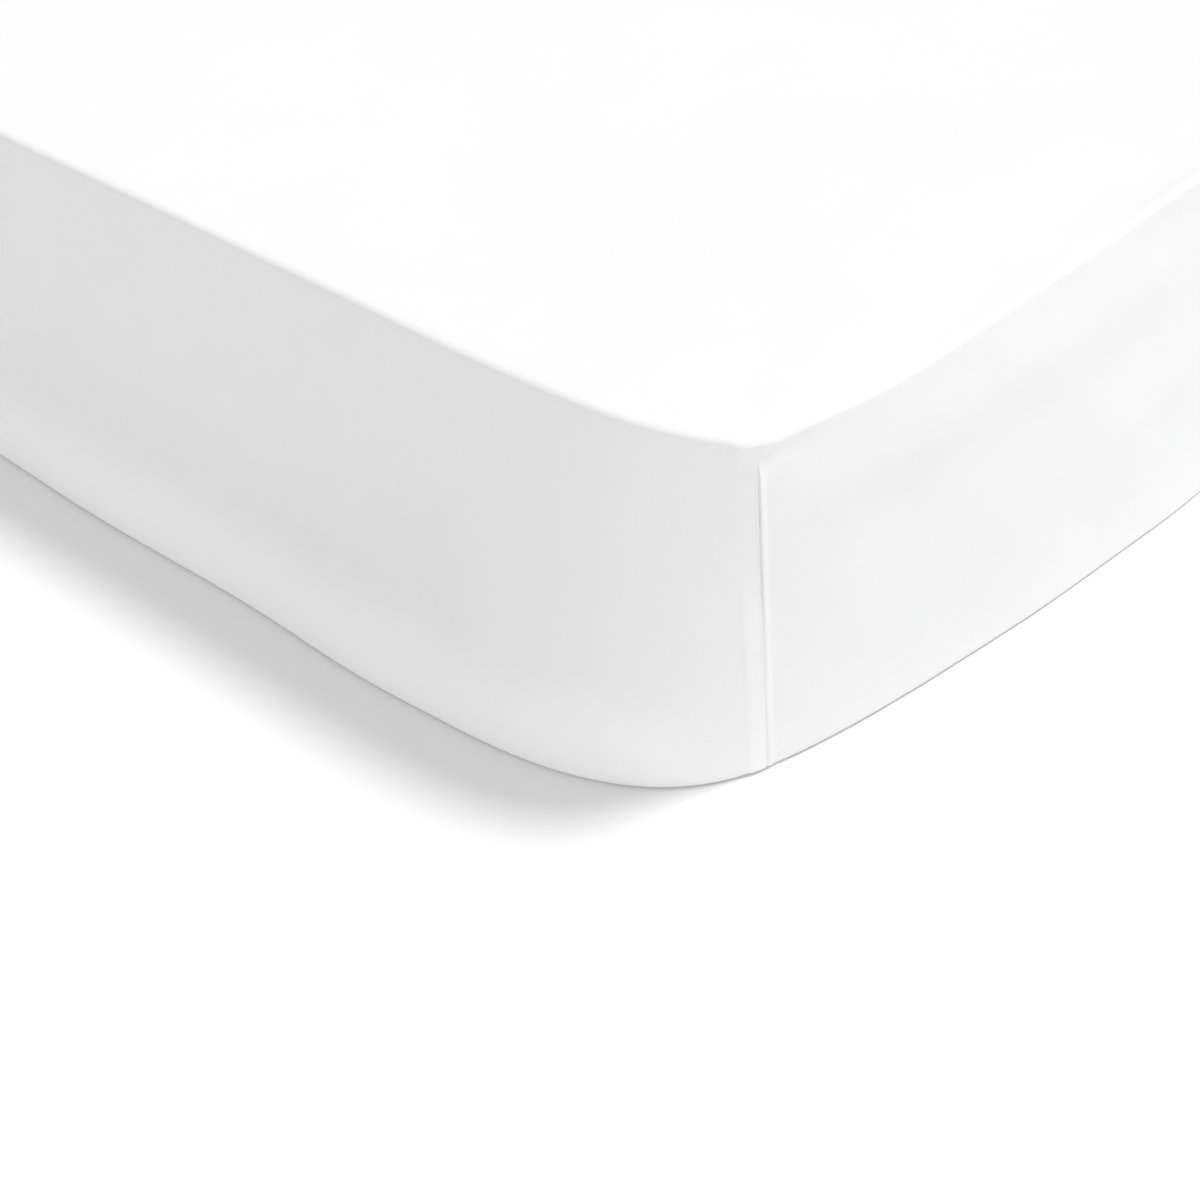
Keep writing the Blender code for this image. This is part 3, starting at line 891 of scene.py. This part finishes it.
def seam_stitches():
    """A row of stitches down the short side of each corner seam."""
    rows = []
    for side in (1, 3):
        columns = np.flatnonzero(NOTE["side"] == side)
        for column in (columns[STITCH_COLUMN], columns[-STITCH_COLUMN]):
            line = outer_sides[:, column]
            line = line[(line[:, 2] > STITCH_FOOT) & (line[:, 2] < STITCH_TOP)]
            places, runs = walk_evenly(line, STITCH_STEP)
            outwards = np.zeros_like(places)
            outwards[:, :2] = NORMAL["top"][column]
            runs = unit(runs + np.cross(outwards, runs) * SEAM_STITCH_LEAN)
            rows.append(spindles(places, runs, outwards))
    return np.concatenate(rows)


def hem_stitches():
    """A row of stitches round the hem, in its groove on the underside."""
    ring = outer_tuck[GROOVE_RING]
    places, runs = walk_evenly(np.concatenate([ring, ring[:1]]), HEM_STITCH_STEP)
    outwards = np.tile((0.0, 0.0, -1.0), (len(places), 1))
    return spindles(places, runs, outwards)


stitches = np.concatenate([seam_stitches(), hem_stitches()])
stitching = add_piece("stitching", stitches.reshape(-1, 3), spindle_faces(len(stitches)))
print(len(stitches), "stitches")

# %% [markdown]
# A material is a small network of nodes. These helpers add a node with its settings, and wire it to others,
# in one line each, so that a finish reads like a recipe. Bump layers lie over each other, the broadest first.

# %% Helpers for materials
def new_material(name):
    """A material, its tree of nodes and its Principled shader."""
    material = bpy.data.materials.new(name)
    material.use_nodes = True
    tree = material.node_tree
    return material, tree, tree.nodes["Principled BSDF"]


def wire(tree, node, inputs):
    """Fill in a node's inputs with plain values or the outputs of other nodes."""
    for name, value in inputs.items():
        if isinstance(value, bpy.types.NodeSocket):
            tree.links.new(value, node.inputs[name])
        else:
            node.inputs[name].default_value = value


def add_node(tree, kind, settings=None, **inputs):
    """A node of one kind, with its settings and inputs."""
    node = tree.nodes.new("ShaderNode" + kind)
    for name, value in (settings or {}).items():
        setattr(node, name, value)
    wire(tree, node, inputs)
    return node


def maths(tree, operation, first, second=0.0):
    """One sum in a node, and its result."""
    node = add_node(tree, "Math", {"operation": operation})
    wire(tree, node, {0: first, 1: second})
    return node.outputs[0]


def between(tree, share, low, high):
    """Low at a share of 0, high at 1, and even between."""
    return maths(tree, "ADD", maths(tree, "MULTIPLY", share, high - low), low)


def beat(tree, along, pitch):
    """An even wave with that many metres to one up and down, from -1 to 1."""
    return maths(tree, "SINE", maths(tree, "MULTIPLY", along, 2.0 * np.pi / pitch))


def noise(tree, place, scale, detail, roughness=0.5):
    """Uneven patches in a value about 0.5. The scale is about how many there are to the metre."""
    node = add_node(tree, "TexNoise", Vector=place, Scale=scale, Detail=detail, Roughness=roughness)
    return node.outputs[0]


def streaks(tree, place, long, wide):
    """Uneven streaks, as thick threads make."""
    stretched = add_node(tree, "Mapping", {"vector_type": "POINT"}, Vector=place, Scale=(long, wide, 1.0))
    return noise(tree, stretched.outputs[0], 10.0, 2.0)


def bumps(tree, layers):
    """The normal of layers of bump. Each is a pattern, its strength and its height in metres."""
    normal = None
    for pattern, strength, height in layers:
        node = add_node(tree, "Bump", Strength=strength, Distance=height, Height=pattern)
        if normal is not None:
            tree.links.new(normal, node.inputs["Normal"])
        normal = node.outputs["Normal"]
    return normal


def colour(tree, red, green, blue):
    """A colour from three values."""
    return add_node(tree, "CombineColor", Red=red, Green=green, Blue=blue).outputs[0]


print("helpers ready")

# %% [markdown]
# The floor is wide and pale, and the sky is an even white like a studio's walls. It gives about half of the
# light, so every side has some. A soft lamp stands high behind the right side, so that side is lighter and a
# soft shadow falls in front. A weak wide one stands low on the viewer's right. These two are suns, whose
# light is the same all over. A low strip lights the foot of the short side, which would be too dark
# otherwise. All of it is just bright enough for a white top.

# %% Build the studio
FLOOR_HALF = 100.0
FLOOR_COLOUR = 0.84
SKY_STRENGTH = 0.63
LAMP_COLUMNS = ("strength", "comes_from", "spread")
LAMP_ROWS = {
    "key_light": (1.75, (0.272, 0.207, 0.90), 11.0),
    "fill_light": (0.53, (0.75, -0.30, 0.30), 40.0),
}
STRIP_POWER = 0.09
STRIP_PLACE = (-1.10, -1.95, 0.010)
STRIP_SIZE = (3.0, 0.016)
STRIP_SPREAD = 8.0

floor_corners = [(x * FLOOR_HALF, y * FLOOR_HALF, 0.0) for x, y in ((-1, -1), (1, -1), (1, 1), (-1, 1))]
floor = add_piece("floor", floor_corners, [(0, 1, 2, 3)])
floor_paint, tree, shader = new_material("floor_paint")
paint = (*[FLOOR_COLOUR] * 3, 1.0)
wire(tree, shader, {"Base Color": paint, "Roughness": 1.0, "Specular IOR Level": 0.0})
floor.data.materials.append(floor_paint)

sky = bpy.data.worlds.new("studio_sky")
sky.use_nodes = True
tree = sky.node_tree
wire(tree, tree.nodes["Background"], {"Color": (1.0, 1.0, 1.0, 1.0), "Strength": SKY_STRENGTH})
scene.world = sky
for name, lamp in table(LAMP_COLUMNS, LAMP_ROWS).items():
    lamp_data = bpy.data.lights.new(name, "SUN")
    lamp_data.energy = lamp["strength"]
    lamp_data.angle = math.radians(lamp["spread"])
    aim = (-Vector(lamp["comes_from"])).to_track_quat("-Z", "Y")
    placed(name, lamp_data).rotation_euler = aim.to_euler()
strip_data = bpy.data.lights.new("floor_strip", "AREA")
strip_data.shape = "RECTANGLE"
strip_data.size, strip_data.size_y = STRIP_SIZE
strip_data.energy = STRIP_POWER
strip_data.spread = math.radians(STRIP_SPREAD)
strip = placed("floor_strip", strip_data)
strip.location = STRIP_PLACE
strip.rotation_euler = (math.radians(90.0), 0.0, 0.0)
strip.visible_camera = False
scene.view_settings.view_transform = "Standard"
print(len(LAMP_ROWS) + 1, "lamps and an even sky")

# %% [markdown]
# The sheet is a smooth plain weave: fine threads that cross over and under each other, two to a millimetre.
# From a step away only a soft matt white is left of them, with faint streaks where a thread is thicker, a
# hardly visible cloudiness, and fine crumples that a hand has not smoothed out. Beside the seams, the needle
# draws the cloth together at every stitch, and the cloth that is folded behind it makes it a little whiter,
# because less of the mattress shows through. All of this is too fine for the mesh, so it goes into colour and
# bump. The weave follows the flat map, so its threads run along the cloth, also down the sides. A little
# sheen stands for the loose fibres that catch the light at a grazing angle.

# %% Finish the cotton
COTTON_WHITE = 0.825
THREAD_PITCH = 0.5 * MM
PUCKER_PITCH = 3.0 * MM
PUCKER_REACH = 5.0 * MM
DOUBLED_WHITE = 0.050

doubled = np.zeros((len(rings), COLUMNS))
for kind, at in (("long", ON_LONG_SIDE), ("short", ~ON_LONG_SIDE)):
    doubled[:, at] = seam_ridge(kind, NOTE["from_seam"][at], rings[:, at, 2])
# What the finish has to know of each point of the sides, and what it is told on the top.
POINT_NOTES = {
    "from_seam": (np.tile(NOTE["from_seam"], len(rings)), 1.0),
    "walk_down": (down.ravel(), 0.0),
    "doubled": (doubled.ravel(), 0.0),
}
top_points = len(cloth_points) - len(rings) * COLUMNS
for name, (on_sides, on_top) in POINT_NOTES.items():
    values = np.concatenate([on_sides, np.full(top_points, on_top)])
    layer = cloth_mesh.attributes.new(name, "FLOAT", "POINT")
    layer.data.foreach_set("value", values.astype(np.float32))

cotton, tree, shader = new_material("white_cotton")
from_seam, walk_down, folded_behind = [
    add_node(tree, "Attribute", {"attribute_name": name}).outputs["Fac"] for name in POINT_NOTES]
flat_place = add_node(tree, "UVMap", {"uv_map": "cloth_metres"}).outputs[0]
apart = add_node(tree, "SeparateXYZ", Vector=flat_place)
warp = beat(tree, apart.outputs["X"], 2.0 * THREAD_PITCH)
weft = beat(tree, apart.outputs["Y"], 2.0 * THREAD_PITCH)
weave = maths(tree, "MULTIPLY", warp, weft)
slubs = maths(tree, "ADD", streaks(tree, flat_place, 95.0, 1.5), streaks(tree, flat_place, 1.5, 95.0))
clouds = noise(tree, flat_place, 14.0, 3.0, 0.55)
crumples = noise(tree, flat_place, 60.0, 3.0, 0.6)
fine_crumples = noise(tree, flat_place, 320.0, 2.0)

lightness = between(tree, slubs, COTTON_WHITE - 0.014, COTTON_WHITE)
lightness = maths(tree, "ADD", lightness, between(tree, clouds, -0.010, 0.012))
lightness = maths(tree, "ADD", lightness, between(tree, weave, 0.0, 0.006))
lightness = maths(tree, "ADD", lightness, maths(tree, "MULTIPLY", folded_behind, DOUBLED_WHITE))
far_from_seam = maths(tree, "DIVIDE", from_seam, PUCKER_REACH)
beside_seam = maths(tree, "MAXIMUM", maths(tree, "SUBTRACT", 1.0, far_from_seam), 0.0)
puckers = maths(tree, "MULTIPLY", beat(tree, walk_down, PUCKER_PITCH), beside_seam)
wire(tree, shader, {
    "Base Color": colour(tree, lightness, lightness, maths(tree, "ADD", lightness, 0.001)),
    "Roughness": between(tree, clouds, 0.84, 0.94),
    "Specular IOR Level": 0.2,
    "Sheen Weight": 0.06,
    "Sheen Roughness": 0.5,
    "Normal": bumps(tree, [
        (crumples, 0.35, 0.35 * MM),
        (fine_crumples, 0.30, 0.05 * MM),
        (puckers, 0.60, 0.10 * MM),
        (slubs, 0.25, 0.03 * MM),
        (weave, 0.35, 0.03 * MM),
    ]),
})
cloth_mesh.materials.append(cotton)
print("the cotton has", len(tree.nodes), "nodes")

# %% [markdown]
# Sewing thread is the same white, but it is twisted and a little shinier than the cloth. The twist is a fine
# slanting stripe in its bump. A stitch is less than half a millimetre thick, so nothing more would show.

# %% Finish the thread
THREAD_WHITE = 0.83
TWIST_SCALE = 900.0

thread, tree, shader = new_material("sewing_thread")
place = add_node(tree, "TexCoord").outputs["Object"]
twist = add_node(
    tree, "TexWave", {"bands_direction": "DIAGONAL"}, Vector=place, Scale=TWIST_SCALE, Distortion=1.0)
twist = twist.outputs["Fac"]
lightness = between(tree, noise(tree, place, 120.0, 1.0), THREAD_WHITE - 0.03, THREAD_WHITE + 0.03)
wire(tree, shader, {
    "Base Color": colour(tree, lightness, lightness, lightness),
    "Roughness": between(tree, twist, 0.60, 0.75),
    "Specular IOR Level": 0.3,
    "Normal": bumps(tree, [(twist, 0.5, 0.05 * MM)]),
})
stitching.data.materials.append(thread)
print("the thread has", len(tree.nodes), "nodes")

# %% [markdown]
# Mattress ticking is a strong twill, woven so that its threads make fine slanting ribs. It is undyed, so it
# is warmer and greyer than the bleached sheet. It only shows underneath, where the mattress is flat, so plain
# X and Y are good enough to lay the ribs out.

# %% Finish the mattress ticking
TICKING_COLOUR = (0.70, 0.685, 0.65)
RIB_PITCH = 1.4 * MM

ticking, tree, shader = new_material("mattress_ticking")
place = add_node(tree, "TexCoord").outputs["Object"]
apart = add_node(tree, "SeparateXYZ", Vector=place)
slant = maths(tree, "ADD", apart.outputs["X"], apart.outputs["Y"])
ribs = beat(tree, slant, RIB_PITCH * math.sqrt(2.0))
yarns = beat(tree, apart.outputs["X"], RIB_PITCH * 0.5)
mottle = noise(tree, place, 22.0, 4.0, 0.6)
dents = noise(tree, place, 7.0, 1.0)
shade = maths(tree, "ADD", between(tree, ribs, 1.0, 1.025), between(tree, mottle, -0.04, 0.04))
wire(tree, shader, {
    "Base Color": colour(tree, *[maths(tree, "MULTIPLY", shade, part) for part in TICKING_COLOUR]),
    "Roughness": between(tree, mottle, 0.80, 0.92),
    "Specular IOR Level": 0.25,
    "Normal": bumps(tree, [(dents, 0.5, 3.0 * MM), (yarns, 0.3, 0.05 * MM), (ribs, 0.6, 0.12 * MM)]),
})
mattress.data.materials.append(ticking)
print("the ticking has", len(tree.nodes), "nodes")

# %% [markdown]
# Every piece is hung on the root body, and the solids of the sheet and the mattress are hidden. The cloth was
# cut 1.65 by 2.75 m, less a square of 0.375 m at each corner, where the seams are.

for piece in (cloth, stitching, mattress):
    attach(piece, "root")
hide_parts("fitted_sheet")
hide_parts("mattress")
